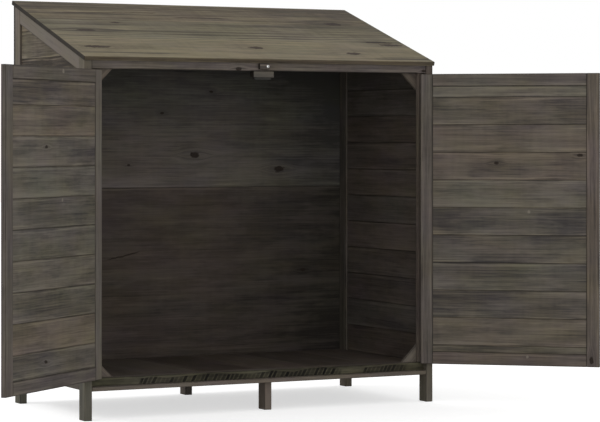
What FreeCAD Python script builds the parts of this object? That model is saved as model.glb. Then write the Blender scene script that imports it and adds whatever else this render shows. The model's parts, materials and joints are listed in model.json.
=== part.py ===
import FreeCAD, Part
import Sketcher
import math
import os

# Garden storage cabinet with a lean-to roof and two framed slat doors.
# Frame: +Z up, doors towards -Y, millimetres. The origin is on the ground, on the cabinet's middle
# line, at the middle of the row of rear feet.

doc = FreeCAD.newDocument("garden_storage_cabinet")
sheet = doc.addObject("Spreadsheet::Sheet", "sizes")

SIZES = {
    # overall
    "width": 1013,
    "depth": 501,
    "roof_front_height": 921.2,
    "roof_slope_angle": 17.65,
    # posts and legs
    "post_width": 20,
    "post_depth": 38,
    "middle_leg_front_offset": 10.9,
    "middle_leg_rear_offset": -18.5,
    "middle_leg_front_setback": 24,
    # roof
    "roof_thickness": 11,
    "roof_side_overhang": 3.5,
    "roof_front_overhang": 6.3,
    "roof_back_overhang": 3.5,
    # rails
    "bottom_rail_height": 76,
    "side_rail_depth": 30,
    "front_rail_height": 74,
    "front_rail_thickness": 11,
    "front_rail_depth": 22,
    "fascia_depth": 21.6,
    "fascia_setback": 2,
    "rail_thickness": 20,
    "rake_rail_depth": 36,
    "rear_top_rail_depth": 30,
    # floor
    "floor_height": 107,
    "floor_thickness": 11,
    "batten_depth": 38,
    "bearer_size": 20,
    "stop_plane": 14.5,
    # walls
    "slat_thickness": 10,
    "slat_pitch": 74.5,
    "slat_setback": 5,
    "slat_bevel": 1,
    "back_board_thickness": 10,
    "back_seam_height": 577,
    # stops and corner braces
    "stop_batten_width": 20,
    "stop_batten_thickness": 7.5,
    "gusset_leg": 65,
    "gusset_thickness": 8,
    "stop_block_width": 60,
    "stop_block_depth": 20,
    "stop_block_offset": 3.6,
    "stop_block_drop": 16.7,
    "stop_lip_width": 48,
    "stop_lip_drop": 6,
    "stop_lip_setback": 6,
    # doors
    "left_open_angle": 140,
    "right_open_angle": 139,
    "door_thickness": 12.5,
    "door_bottom_height": 105.2,
    "door_top_gap": 2.9,
    "door_side_gap": 1.2,
    "door_centre_gap": 1.2,
    "hinge_stile_width": 33,
    "free_stile_width": 35,
    "door_top_rail": 33,
    "door_bottom_rail": 33,
    "door_slat_thickness": 9,
    "door_slat_recess": 2,
    "door_slat_pitch": 74.2,
    "left_lowest_slat": 61.4,
    "right_lowest_slat": 18.8,
    "door_least_slat": 10,
    # hinges
    "axis_inset": 28,
    "axis_offset": 2.4,
    "hinge_length": 60,
    "hinge_end_distance": 75,
    "leaf_reach": 26,
    "leaf_thickness": 1,
    "knuckle_radius": 2.1,
    "moving_knuckle_length": 24,
    "knuckle_gap": 0.4,
    "knuckle_relief": 0.5,
    "pin_radius": 1.2,
    "pin_clearance": 0.05,
    "pin_head_height": 1,
    "screw_radius": 1.5,
    "screw_hole_radius": 1.8,
    "screw_head_radius": 2.7,
    "screw_head_height": 1,
    "screw_length": 9,
    "screw_line": 17,
    "screw_spacing": 20,
    # turn button
    "button_offset": 4.5,
    "button_lift": 11,
    "button_arm": 24,
    "button_nose": 8.5,
    "button_width": 15,
    "button_thickness": 8,
    "button_gap": 0.5,
    "button_washer_radius": 5,
    "button_screw_radius": 2,
    "button_screw_clearance": 0.05,
    "button_screw_head_radius": 4,
    "button_screw_head_height": 1.6,
    "button_screw_bite": 14,
}
FLOOR_BOARDS = 6
ROOF_BOARDS = 3

for row, (word, number) in enumerate(SIZES.items(), start=1):
    sheet.set(f"A{row}", word)
    sheet.set(f"B{row}", str(number))
    sheet.setAlias(f"B{row}", word)
doc.recompute()


def S(word):
    """The name of a size, as it is written in an expression."""
    return f"sizes.{word}"


# places that several pieces share, as expressions
LEFT = f"(-{S('width')} / 2)"
REAR = f"({S('post_depth')} / 2)"
FRONT = f"({REAR} - {S('depth')})"
INNER = f"({S('width')} / 2 - {S('post_width')})"
CLEAR_WIDTH = f"({S('width')} - 2 * {S('post_width')})"
CLEAR_DEPTH = f"({S('depth')} - 2 * {S('post_depth')})"
REAR_POST = f"({REAR} - {S('post_depth')})"
REAR_RAIL = f"({REAR} - {S('rail_thickness')})"
STOP_FACE = f"({FRONT} + {S('stop_plane')})"
SIDE_RAIL_TOP = f"({S('bottom_rail_height')} + {S('side_rail_depth')})"
FLOOR_UNDERSIDE = f"({S('floor_height')} - {S('floor_thickness')})"
BEARER_BASE = f"({FLOOR_UNDERSIDE} - {S('bearer_size')})"
FRONT_RAIL_TOP = f"({S('front_rail_height')} + {S('front_rail_thickness')})"
BATTEN_BACK = f"({STOP_FACE} + {S('batten_depth')})"
MIDDLE_LEG_FRONT = f"({FRONT} + {S('middle_leg_front_setback')})"
SLOPE_SIN = f"sin({S('roof_slope_angle')})"
SLOPE_COS = f"cos({S('roof_slope_angle')})"
ROOF_NOSE_Y = f"({FRONT} - {S('roof_front_overhang')} + {S('roof_thickness')} * {SLOPE_SIN})"
ROOF_NOSE_Z = f"({S('roof_front_height')} - {S('roof_thickness')} * {SLOPE_COS})"
ROOF_RUN = (f"(({S('roof_front_overhang')} + {S('depth')} + {S('back_board_thickness')}"
            f" + {S('roof_back_overhang')}) / {SLOPE_COS})")
DOOR_TAIL = f"({S('axis_inset')} - {S('post_width')} - {S('door_side_gap')})"
DOOR_WIDTH = f"({S('width')} / 2 - {S('door_centre_gap')} / 2 - {S('post_width')} - {S('door_side_gap')})"
BUTTON_Y = f"({FRONT} - {S('button_gap')})"

# directions: a rod that lies along +Y, a profile drawn in the YZ plane and one drawn in the XZ plane
LYING = FreeCAD.Rotation(FreeCAD.Vector(1, 0, 0), -90)
ACROSS_X = FreeCAD.Rotation(FreeCAD.Vector(1, 1, 1), 120)
ACROSS_Y = FreeCAD.Rotation(FreeCAD.Vector(1, 0, 0), 90)
# how far a drilling tool runs past the faces it goes through
OVERRUN = 1


def under_roof(depth_place):
    """Height of the roof's underside above a place along Y."""
    return f"({ROOF_NOSE_Z} + ({depth_place} - {ROOF_NOSE_Y}) * tan({S('roof_slope_angle')}))"


FASCIA_FRONT = f"({FRONT} + {S('fascia_setback')})"
FASCIA_BOTTOM = f"({under_roof(FASCIA_FRONT)} - {S('fascia_depth')})"
DOOR_TOP = f"({FASCIA_BOTTOM} - {S('door_top_gap')})"
DOOR_HEIGHT = f"({DOOR_TOP} - {S('door_bottom_height')})"


def roof_rise(distance):
    """How far the roof's underside rises over a level distance from its nose."""
    return distance * math.tan(math.radians(SIZES["roof_slope_angle"]))


def count_rows():
    """How many slats of full height each door takes, and how many rows a side wall needs."""
    slope = math.radians(SIZES["roof_slope_angle"])
    nose_y = -SIZES["roof_front_overhang"] + SIZES["roof_thickness"] * math.sin(slope)
    nose_z = SIZES["roof_front_height"] - SIZES["roof_thickness"] * math.cos(slope)
    fascia = nose_z + roof_rise(SIZES["fascia_setback"] - nose_y) - SIZES["fascia_depth"]
    door_space = (fascia - SIZES["door_top_gap"] - SIZES["door_top_rail"] - SIZES["door_bottom_height"]
                  - SIZES["door_bottom_rail"] - SIZES["door_least_slat"])
    door_rows = {side: int((door_space - SIZES[f"{side}_lowest_slat"]) // SIZES["door_slat_pitch"])
                 for side in ("left", "right")}
    rear = nose_z + roof_rise(SIZES["depth"] - SIZES["post_depth"] - nose_y)
    wall = (rear - SIZES["rake_rail_depth"] / math.cos(slope) - SIZES["bottom_rail_height"]
            - SIZES["side_rail_depth"])
    return door_rows, math.ceil(wall / SIZES["slat_pitch"])


DOOR_ROWS, SIDE_ROWS = count_rows()


def place(thing, x, y, z):
    """Bind where a piece stands."""
    thing.setExpression("Placement.Base.x", x)
    thing.setExpression("Placement.Base.y", y)
    thing.setExpression("Placement.Base.z", z)
    return thing


def box(name, x, y, z, length, width, height):
    """A straight-sided piece with its low corner at x, y, z."""
    piece = doc.addObject("Part::Box", name)
    piece.setExpression("Length", length)
    piece.setExpression("Width", width)
    piece.setExpression("Height", height)
    return place(piece, x, y, z)


def rod(name, x, y, z, radius, height, rotation=None):
    """A round piece that starts at x, y, z and rises along Z, or along the turned direction."""
    piece = doc.addObject("Part::Cylinder", name)
    piece.setExpression("Radius", radius)
    piece.setExpression("Height", height)
    if rotation is not None:
        piece.Placement = FreeCAD.Placement(FreeCAD.Vector(), rotation)
    return place(piece, x, y, z)


def cut(name, base, tool):
    """Base without tool."""
    result = doc.addObject("Part::Cut", name)
    result.Base = base
    result.Tool = tool
    return result


def common(name, base, tool):
    """The space that both share."""
    result = doc.addObject("Part::Common", name)
    result.Base = base
    result.Tool = tool
    return result


def fuse(name, pieces):
    """Several pieces made one."""
    result = doc.addObject("Part::MultiFuse", name)
    result.Shapes = pieces
    return result


def group(name, pieces):
    """Separate solids that share one name."""
    result = doc.addObject("Part::Compound", name)
    result.Links = pieces
    return result


SUBPARTS = []


def subpart(thing, label):
    """Give a finished piece its name."""
    thing.Label = label
    SUBPARTS.append(thing)
    return thing


def tilted(name, lift, height):
    """A wide block that lies on the roof slope, a given distance above the roof's underside."""
    block = box(
        name,
        f"-{S('width')}",
        f"{ROOF_NOSE_Y} - {S('depth')} * {SLOPE_COS} - ({lift}) * {SLOPE_SIN}",
        f"{ROOF_NOSE_Z} - {S('depth')} * {SLOPE_SIN} + ({lift}) * {SLOPE_COS}",
        f"2 * {S('width')}",
        f"4 * {S('depth')}",
        height,
    )
    block.Placement = FreeCAD.Placement(FreeCAD.Vector(), FreeCAD.Rotation(FreeCAD.Vector(1, 0, 0), 1))
    block.setExpression("Placement.Rotation.Angle", S("roof_slope_angle"))
    return block


ABOVE_ROOF = tilted("above_roof_underside", "0", S("width"))
ABOVE_RAKE = tilted("above_rake_underside", f"-{S('rake_rail_depth')}", S("width"))
RAKE_BAND = tilted("rake_band", f"-{S('rake_rail_depth')}", S("rake_rail_depth"))


def make_posts():
    """Four corner posts, sawn off along the roof slope."""
    for side, x in (("left", LEFT), ("right", INNER)):
        for end, y in (("front", FRONT), ("rear", REAR_POST)):
            blank = box(f"{end}_{side}_blank", x, y, "0", S("post_width"), S("post_depth"),
                        f"{S('width')} + {S('depth')} / 2")
            subpart(cut(f"{end}_{side}_sawn", blank, ABOVE_ROOF), f"{end}_{side}_post")


def make_middle_legs():
    """Two short legs under the middle of the floor."""
    front = box("front_middle", S("middle_leg_front_offset"), MIDDLE_LEG_FRONT, "0",
                S("post_width"), S("post_depth"), FRONT_RAIL_TOP)
    subpart(front, "front_middle_leg")
    rear = box("rear_middle", S("middle_leg_rear_offset"), REAR_POST, "0",
               S("post_width"), S("post_depth"), S("bottom_rail_height"))
    subpart(rear, "rear_middle_leg")


def make_rails():
    """Rails that join the posts at the bottom and at the top."""
    inner_left = f"-{INNER}"
    subpart(box("front_low", inner_left, FRONT, S("front_rail_height"), CLEAR_WIDTH,
                S("front_rail_depth"), S("front_rail_thickness")), "front_bottom_rail")
    subpart(box("rear_low", inner_left, REAR_RAIL, S("bottom_rail_height"), CLEAR_WIDTH,
                S("rail_thickness"), S("side_rail_depth")), "rear_bottom_rail")
    front_top = box("front_high", inner_left, FASCIA_FRONT, FASCIA_BOTTOM,
                    CLEAR_WIDTH, S("rail_thickness"), S("post_depth"))
    subpart(cut("front_high_sawn", front_top, ABOVE_ROOF), "front_top_rail")
    rear_base = f"{under_roof(REAR_RAIL)} - {S('rear_top_rail_depth')}"
    rear_top = box("rear_high", inner_left, REAR_RAIL, rear_base, CLEAR_WIDTH,
                   S("rail_thickness"), f"2 * {S('rear_top_rail_depth')}")
    subpart(cut("rear_high_sawn", rear_top, ABOVE_ROOF), "rear_top_rail")
    for side, x in (("left", LEFT), ("right", INNER)):
        back = f"{FRONT} + {S('post_depth')}"
        subpart(box(f"{side}_low", x, back, S("bottom_rail_height"), S("post_width"), CLEAR_DEPTH,
                    S("side_rail_depth")), f"{side}_bottom_rail")
        blank = box(f"{side}_rake_blank", x, back, "0", S("post_width"), CLEAR_DEPTH, f"2 * {S('width')}")
        subpart(common(f"{side}_rake", blank, RAKE_BAND), f"{side}_rake_rail")


def bevelled_slat(name, x, y, z, thickness, height, bevel, length, along_x):
    """A slat with a small bevel on its four long edges; the profile is drawn across the slat."""
    sketch = doc.addObject("Sketcher::SketchObject", f"{name}_profile")
    corners = (
        ("0", bevel), (bevel, "0"), (f"{thickness} - {bevel}", "0"), (thickness, bevel),
        (thickness, f"{height} - {bevel}"), (f"{thickness} - {bevel}", height),
        (bevel, height), ("0", f"{height} - {bevel}"),
    )
    # an outline of about the right size, which the constraints then fit to this row
    edge, wide, tall = SIZES["slat_bevel"], SIZES["slat_thickness"], SIZES["slat_pitch"]
    guess = ((0, edge), (edge, 0), (wide - edge, 0), (wide, edge),
             (wide, tall - edge), (wide - edge, tall), (edge, tall), (0, tall - edge))
    for index, (u, v) in enumerate(guess):
        nu, nv = guess[(index + 1) % 8]
        sketch.addGeometry(Part.LineSegment(FreeCAD.Vector(u, v, 0), FreeCAD.Vector(nu, nv, 0)), False)
    for index in range(8):
        sketch.addConstraint(Sketcher.Constraint("Coincident", index, 2, (index + 1) % 8, 1))
    for index, (u, v) in enumerate(corners):
        bound = sketch.addConstraint(Sketcher.Constraint("DistanceX", -1, 1, index, 1, guess[index][0]))
        sketch.setExpression(f"Constraints[{bound}]", u)
        bound = sketch.addConstraint(Sketcher.Constraint("DistanceY", -1, 1, index, 1, guess[index][1]))
        sketch.setExpression(f"Constraints[{bound}]", v)
    sketch.Placement = FreeCAD.Placement(FreeCAD.Vector(), ACROSS_X if along_x else ACROSS_Y)
    slat = doc.addObject("Part::Extrusion", name)
    slat.Base = sketch
    slat.DirMode = "Normal"
    slat.Solid = True
    slat.Reversed = not along_x
    slat.setExpression("LengthFwd", length)
    return place(slat, x, y, z)


def make_side_walls():
    """Level slats between the posts; the top ones are sawn along the rake rail."""
    for side, x in (("left", f"{LEFT} + {S('slat_setback')}"),
                    ("right", f"{INNER} + {S('slat_setback')}")):
        rows = []
        for row in range(SIDE_ROWS):
            slat = bevelled_slat(
                f"{side}_slat_{row}", x, f"{FRONT} + {S('post_depth')}",
                f"{SIDE_RAIL_TOP} + {row} * {S('slat_pitch')}",
                S("slat_thickness"), S("slat_pitch"), S("slat_bevel"), CLEAR_DEPTH, False)
            rows.append(cut(f"{side}_slat_{row}_sawn", slat, ABOVE_RAKE))
        subpart(group(f"{side}_wall", rows), f"{side}_side_slats")


def make_back():
    """Two wide boards fixed behind the rear posts."""
    lower = box("back_low", LEFT, REAR, S("bottom_rail_height"), S("width"),
                S("back_board_thickness"), f"{S('back_seam_height')} - {S('bottom_rail_height')}")
    subpart(lower, "back_panel_lower")
    upper = box("back_high", LEFT, REAR, S("back_seam_height"), S("width"),
                S("back_board_thickness"), S("width"))
    subpart(cut("back_high_sawn", upper, ABOVE_ROOF), "back_panel_upper")


def make_roof():
    """Sloping roof boards laid edge to edge."""
    board = f"({ROOF_RUN} / {ROOF_BOARDS})"
    for number in range(ROOF_BOARDS):
        y = f"{ROOF_NOSE_Y} + {number} * {board} * {SLOPE_COS}"
        z = f"{ROOF_NOSE_Z} + {number} * {board} * {SLOPE_SIN}"
        plank = box(f"roof_plank_{number}", f"{LEFT} - {S('roof_side_overhang')}", y, z,
                    f"{S('width')} + 2 * {S('roof_side_overhang')}", board, S("roof_thickness"))
        plank.Placement = FreeCAD.Placement(FreeCAD.Vector(), FreeCAD.Rotation(FreeCAD.Vector(1, 0, 0), 1))
        plank.setExpression("Placement.Rotation.Angle", S("roof_slope_angle"))
        subpart(plank, f"roof_board_{number + 1}")


def make_floor():
    """Front batten, two bearers and boards that run from front to back."""
    inner_left = f"-{INNER}"
    subpart(box("batten", inner_left, STOP_FACE, FRONT_RAIL_TOP, CLEAR_WIDTH, S("batten_depth"),
                f"{S('floor_height')} - {FRONT_RAIL_TOP}"), "floor_front_batten")
    front_bearer = f"{MIDDLE_LEG_FRONT} + {S('post_depth')}"
    subpart(box("front_bearer", inner_left, front_bearer, BEARER_BASE, CLEAR_WIDTH,
                S("bearer_size"), S("bearer_size")), "floor_front_bearer")
    subpart(box("rear_bearer", inner_left, f"{REAR_RAIL} - {S('bearer_size')}", BEARER_BASE, CLEAR_WIDTH,
                S("bearer_size"), S("bearer_size")), "floor_rear_bearer")
    board = f"({CLEAR_WIDTH} / {FLOOR_BOARDS})"
    for number in range(FLOOR_BOARDS):
        name = f"floor_board_{number + 1}"
        subpart(box(f"{name}_plank", f"-{INNER} + {number} * {board}", BATTEN_BACK, FLOOR_UNDERSIDE,
                    board, f"{REAR_RAIL} - {BATTEN_BACK}", S("floor_thickness")), name)


def make_stops():
    """Battens, corner braces and the block that the doors close against."""
    for side, sign in (("left", -1), ("right", 1)):
        batten_x = f"-{INNER}" if sign < 0 else f"{INNER} - {S('stop_batten_width')}"
        subpart(box(f"{side}_stop", batten_x, STOP_FACE, S("floor_height"), S("stop_batten_width"),
                    S("stop_batten_thickness"), f"{FASCIA_BOTTOM} - {S('floor_height')}"),
                f"{side}_stop_batten")
        for level in ("upper", "lower"):
            subpart(gusset(f"{side}_{level}", sign, level), f"{side}_{level}_gusset")
    centre = S("stop_block_offset")
    top = FASCIA_BOTTOM
    block = box("stop_body", f"{centre} - {S('stop_block_width')} / 2", STOP_FACE,
                f"{top} - {S('stop_block_drop')}", S("stop_block_width"), S("stop_block_depth"),
                S("stop_block_drop"))
    lip = box("stop_lip", f"{centre} - {S('stop_lip_width')} / 2", f"{STOP_FACE} + {S('stop_lip_setback')}",
              f"{top} - {S('stop_block_drop')} - {S('stop_lip_drop')}", S("stop_lip_width"),
              f"{S('stop_block_depth')} - {S('stop_lip_setback')}", S("stop_lip_drop"))
    subpart(fuse("stop_with_lip", [block, lip]), "door_stop_block")


def gusset(name, sign, level):
    """A three-cornered brace in a corner of the door opening."""
    sketch = doc.addObject("Sketcher::SketchObject", f"{name}_gusset_profile")
    reach = SIZES["gusset_leg"]
    guess = ((0, 0), (-sign * reach, 0), (0, reach if level == "lower" else -reach))
    for index in range(3):
        u, v = guess[index]
        nu, nv = guess[(index + 1) % 3]
        sketch.addGeometry(Part.LineSegment(FreeCAD.Vector(u, v, 0), FreeCAD.Vector(nu, nv, 0)), False)
    for index in range(3):
        sketch.addConstraint(Sketcher.Constraint("Coincident", index, 2, (index + 1) % 3, 1))
    sketch.addConstraint(Sketcher.Constraint("Coincident", 0, 1, -1, 1))
    sketch.addConstraint(Sketcher.Constraint("Horizontal", 0))
    sketch.addConstraint(Sketcher.Constraint("Vertical", 2))
    for line in (0, 2):
        bound = sketch.addConstraint(Sketcher.Constraint("Distance", line, reach))
        sketch.setExpression(f"Constraints[{bound}]", S("gusset_leg"))
    sketch.Placement = FreeCAD.Placement(FreeCAD.Vector(), ACROSS_Y)
    brace = doc.addObject("Part::Extrusion", f"{name}_gusset_solid")
    brace.Base = sketch
    brace.DirMode = "Normal"
    brace.Solid = True
    brace.Reversed = True
    brace.setExpression("LengthFwd", S("gusset_thickness"))
    corner = f"-{INNER}" if sign < 0 else INNER
    height = S("floor_height") if level == "lower" else FASCIA_BOTTOM
    return place(brace, corner, f"{STOP_FACE} + {S('stop_batten_thickness')}", height)


def door_x(sign, start, length):
    """Low X of a piece that starts at a distance from the hinge axis, on either door."""
    return f"({start})" if sign > 0 else f"(-({start}) - ({length}))"


def hang(thing, side, sign):
    """Turn a piece of a closed door about its hinge axis into the open pose."""
    place(thing, f"{-sign} * ({S('width')} / 2 - {S('axis_inset')})", f"{FRONT} - {S('axis_offset')}", "0")
    thing.setExpression("Placement.Rotation.Angle", f"{-sign} * {S(side + '_open_angle')}")
    return thing


def make_door(side, sign):
    """A framed door: two stiles, two rails and level slats, drawn closed with the axis at X 0, Y 0."""
    tail = f"(-{DOOR_TAIL})"
    face = S("axis_offset")
    base = S("door_bottom_height")
    rail_start = f"({tail} + {S('hinge_stile_width')})"
    rail_length = f"({DOOR_WIDTH} - {S('hinge_stile_width')} - {S('free_stile_width')})"

    def framed(name, start, z, length, height):
        piece = box(f"{side}_{name}_closed", door_x(sign, start, length), face, z, length,
                    S("door_thickness"), height)
        subpart(hang(group(f"{side}_{name}_hung", [piece]), side, sign), f"{side}_door_{name}")

    framed("hinge_stile", tail, base, S("hinge_stile_width"), DOOR_HEIGHT)
    framed("free_stile", f"({rail_start} + {rail_length})", base, S("free_stile_width"), DOOR_HEIGHT)
    framed("bottom_rail", rail_start, base, rail_length, S("door_bottom_rail"))
    framed("top_rail", rail_start, f"{DOOR_TOP} - {S('door_top_rail')}", rail_length, S("door_top_rail"))

    slat_face = f"{face} + {S('door_thickness')} - {S('door_slat_recess')} - {S('door_slat_thickness')}"
    low = f"({base} + {S('door_bottom_rail')})"
    first = f"({low} + {S(side + '_lowest_slat')})"
    last = f"({first} + {DOOR_ROWS[side]} * {S('door_slat_pitch')})"
    rows = [(low, S(side + "_lowest_slat"))]
    rows += [(f"({first} + {row} * {S('door_slat_pitch')})", S("door_slat_pitch"))
             for row in range(DOOR_ROWS[side])]
    rows.append((last, f"({DOOR_TOP} - {S('door_top_rail')} - {last})"))
    slats = [
        bevelled_slat(f"{side}_door_slat_{row}", door_x(sign, rail_start, rail_length), slat_face, z,
                      S("door_slat_thickness"), height, S("slat_bevel"), rail_length, True)
        for row, (z, height) in enumerate(rows)
    ]
    subpart(hang(group(f"{side}_slats_hung", slats), side, sign), f"{side}_door_slats")


def hinge_levels():
    """Heights of the lower ends of the two hinges of a door."""
    low = f"({S('door_bottom_height')} + {S('hinge_end_distance')})"
    high = f"({DOOR_TOP} - {S('hinge_end_distance')} - {S('hinge_length')})"
    return (("lower", low), ("upper", high))


KNUCKLE_END = f"(({S('hinge_length')} - {S('moving_knuckle_length')}) / 2)"


def screw(name, x, face, z, head_radius, head_height, radius, length):
    """A pan-headed screw along Y whose head sits in front of a face."""
    head = rod(f"{name}_head", x, f"{face} - {head_height}", z, head_radius, head_height, LYING)
    shank = rod(f"{name}_shank", x, f"{face} - {head_height} / 2", z, radius,
                f"{length} + {head_height} / 2", LYING)
    return fuse(name, [head, shank])


def screw_heights(z):
    """Heights of the three screws of a leaf."""
    middle = f"({z} + {S('hinge_length')} / 2)"
    return [f"({middle} + {step} * {S('screw_spacing')})" for step in (-1, 0, 1)]


def leaf(name, sign, z, knuckles, notches, outward):
    """A hinge leaf: a drilled plate with its knuckles, drawn with the axis at X 0, Y 0."""
    plate_face = f"({S('axis_offset')} - {S('leaf_thickness')})"
    plate = box(f"{name}_plate", door_x(outward * sign, "0", S("leaf_reach")), plate_face, z,
                S("leaf_reach"), S("leaf_thickness"), S("hinge_length"))
    relief = f"({S('knuckle_radius')} + {S('knuckle_relief')})"
    tools = []
    for number, (start, length) in enumerate(notches):
        tools.append(box(f"{name}_notch_{number}", f"-{relief}", f"-{relief}", start,
                         f"2 * {relief}", f"4 * {relief}", length))
    for number, height in enumerate(screw_heights(z)):
        x = f"{outward * sign} * {S('screw_line')}"
        tools.append(rod(f"{name}_hole_{number}", x, f"{plate_face} - {S('leaf_thickness')}", height,
                         S("screw_hole_radius"), f"3 * {S('leaf_thickness')}", LYING))
    for number, tool in enumerate(tools):
        plate = cut(f"{name}_drilled_{number}", plate, tool)
    barrels = [rod(f"{name}_knuckle_{number}", "0", "0", start, S("knuckle_radius"), length)
               for number, (start, length) in enumerate(knuckles)]
    joined = fuse(f"{name}_joined", [plate] + barrels)
    bore = rod(f"{name}_bore", "0", "0", z, f"{S('pin_radius')} + {S('pin_clearance')}", S("hinge_length"))
    return cut(name, joined, bore)


def make_hinges(side, sign):
    """Two hinges: a fixed leaf on the post, a moving leaf on the door, a pin and their screws."""
    fixed, moving, pins, fixed_screws, moving_screws = [], [], [], [], []
    for level, z in hinge_levels():
        name = f"{side}_{level}"
        top = f"({z} + {S('hinge_length')})"
        end = f"({KNUCKLE_END} - {S('knuckle_gap')})"
        low_end = (z, KNUCKLE_END)
        high_end = (f"({top} - {end})", end)
        middle = (f"({z} + {KNUCKLE_END})", S("moving_knuckle_length"))
        open_middle = (f"({z} + {KNUCKLE_END})", f"{S('moving_knuckle_length')} + {S('knuckle_gap')}")
        fixed.append(leaf(f"{name}_fixed", sign, z, [low_end, high_end], [open_middle], -1))
        moving.append(leaf(f"{name}_moving", sign, z, [middle],
                           [(z, KNUCKLE_END), (f"({z} + {KNUCKLE_END} + {S('moving_knuckle_length')})",
                                               KNUCKLE_END)], 1))
        shaft = rod(f"{name}_shaft", "0", "0", z, S("pin_radius"), S("hinge_length"))
        head = rod(f"{name}_pin_head", "0", "0", top, S("knuckle_radius"), S("pin_head_height"))
        pins.append(fuse(f"{name}_pin", [shaft, head]))
        plate_face = f"({S('axis_offset')} - {S('leaf_thickness')})"
        for number, height in enumerate(screw_heights(z)):
            for store, word, way in ((fixed_screws, "post", -1), (moving_screws, "door", 1)):
                store.append(screw(f"{name}_{word}_screw_{number}", f"{way * sign} * {S('screw_line')}",
                                   plate_face, height, S("screw_head_radius"), S("screw_head_height"),
                                   S("screw_radius"), S("screw_length")))
    still = ((fixed, "frame_hinge_leaves"), (pins, "hinge_pins"), (fixed_screws, "frame_hinge_screws"))
    for pieces, word in still:
        held = group(f"{side}_{word}_set", pieces)
        place(held, f"{-sign} * ({S('width')} / 2 - {S('axis_inset')})", f"{FRONT} - {S('axis_offset')}", "0")
        subpart(held, f"{side}_{word}")
    for pieces, word in ((moving, "door_hinge_leaves"), (moving_screws, "door_hinge_screws")):
        subpart(hang(group(f"{side}_{word}_set", pieces), side, sign), f"{side}_{word}")


def make_turn_button():
    """A wooden turn button on a spacer washer, held by one screw through its rounded end."""
    back = BUTTON_Y
    front = f"({back} - {S('button_thickness')})"
    x = S("button_offset")
    z = f"({FASCIA_BOTTOM} + {S('button_lift')})"
    arm = box("button_arm_blank", f"{x} - {S('button_arm')}", front, f"{z} - {S('button_width')} / 2",
              S("button_arm"), S("button_thickness"), S("button_width"))
    disc = rod("button_disc", x, front, z, S("button_nose"), S("button_thickness"), LYING)
    band = box("button_band", f"{x} - {S('button_nose')}", front, f"{z} - {S('button_width')} / 2",
               f"2 * {S('button_nose')}", S("button_thickness"), S("button_width"))
    nose = common("button_nose_round", disc, band)
    body = fuse("button_body", [arm, nose])
    bore = rod("button_bore", x, f"{front} - {OVERRUN}", z,
               f"{S('button_screw_radius')} + {S('button_screw_clearance')}",
               f"{S('button_thickness')} + 2 * {OVERRUN}", LYING)
    subpart(cut("button_drilled", body, bore), "turn_button")
    spacer = f"({S('fascia_setback')} + {S('button_gap')})"
    disc = rod("washer_disc", x, back, z, S("button_washer_radius"), spacer, LYING)
    hole = rod("washer_hole", x, f"{back} - {OVERRUN}", z,
               f"{S('button_screw_radius')} + {S('button_screw_clearance')}",
               f"{spacer} + 2 * {OVERRUN}", LYING)
    subpart(cut("washer_drilled", disc, hole), "turn_button_washer")
    held = screw("button_screw", x, front, z, S("button_screw_head_radius"),
                 S("button_screw_head_height"), S("button_screw_radius"),
                 f"({S('button_thickness')} + {spacer} + {S('button_screw_bite')})")
    subpart(held, "turn_button_screw")


make_posts()
make_middle_legs()
make_rails()
make_side_walls()
make_back()
make_roof()
make_floor()
make_stops()
for door_side, door_sign in (("left", 1), ("right", -1)):
    make_door(door_side, door_sign)
    make_hinges(door_side, door_sign)
make_turn_button()
doc.recompute()

for thing in doc.Objects:
    if "Invalid" in thing.State or "Error" in thing.State:
        raise RuntimeError(f"{thing.Name} did not rebuild: {thing.State}")
os.makedirs("parts", exist_ok=True)
for thing in SUBPARTS:
    if thing.Shape.isNull() or not thing.Shape.isValid():
        raise RuntimeError(f"{thing.Label} has no valid shape")
    thing.Shape.exportStep(os.path.join("parts", f"{thing.Label}.step"))
    print(f"{thing.Label:28s} {thing.Shape.Volume / 1000:9.2f} cm3  {len(thing.Shape.Solids)} solids")
print(len(SUBPARTS), "sub-parts")
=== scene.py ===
# %% [markdown]
# # A garden storage cabinet in stained softwood
#
# The cabinet stands on short legs, has a lean-to roof and two framed doors that stand wide open.
# The exact solids come from the drawing office. This lesson dresses them: every board becomes a
# piece of timber with eased edges, its own tone and its own grain, and the hinges become metal.

# %% Load the solids
import bpy
import bmesh
import json
import math
import random
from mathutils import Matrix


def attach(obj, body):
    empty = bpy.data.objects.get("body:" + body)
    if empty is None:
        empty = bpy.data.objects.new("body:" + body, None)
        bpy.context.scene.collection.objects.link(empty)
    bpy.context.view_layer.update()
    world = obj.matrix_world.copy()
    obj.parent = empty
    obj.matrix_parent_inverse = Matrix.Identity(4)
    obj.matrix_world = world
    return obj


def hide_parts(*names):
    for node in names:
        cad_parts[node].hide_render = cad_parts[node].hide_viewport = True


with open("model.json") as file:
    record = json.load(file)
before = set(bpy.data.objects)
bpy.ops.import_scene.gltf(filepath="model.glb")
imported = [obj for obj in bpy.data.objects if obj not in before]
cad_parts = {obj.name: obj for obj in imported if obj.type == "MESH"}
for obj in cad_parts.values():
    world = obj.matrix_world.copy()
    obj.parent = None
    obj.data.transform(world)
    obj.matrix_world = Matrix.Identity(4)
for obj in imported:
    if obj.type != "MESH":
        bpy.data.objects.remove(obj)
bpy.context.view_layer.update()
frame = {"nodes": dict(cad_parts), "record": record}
import zlib
from mathutils import Matrix, Vector

NODES = frame["nodes"]
RECORD = frame["record"]
BODY_OF = {node: body for body, names in RECORD["behaviour"]["bodies"].items() for node in names}
SLOT_OF = {part["node"]: part["material_slot"] for part in RECORD["subparts"]}

# %% [markdown]
# ## A shorthand for shader nodes
#
# Wood is built from many small sums. Placing each node by hand would take pages, so a helper does
# the typing: each call adds one node, plugs in what it is given and hands back the output.

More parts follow.
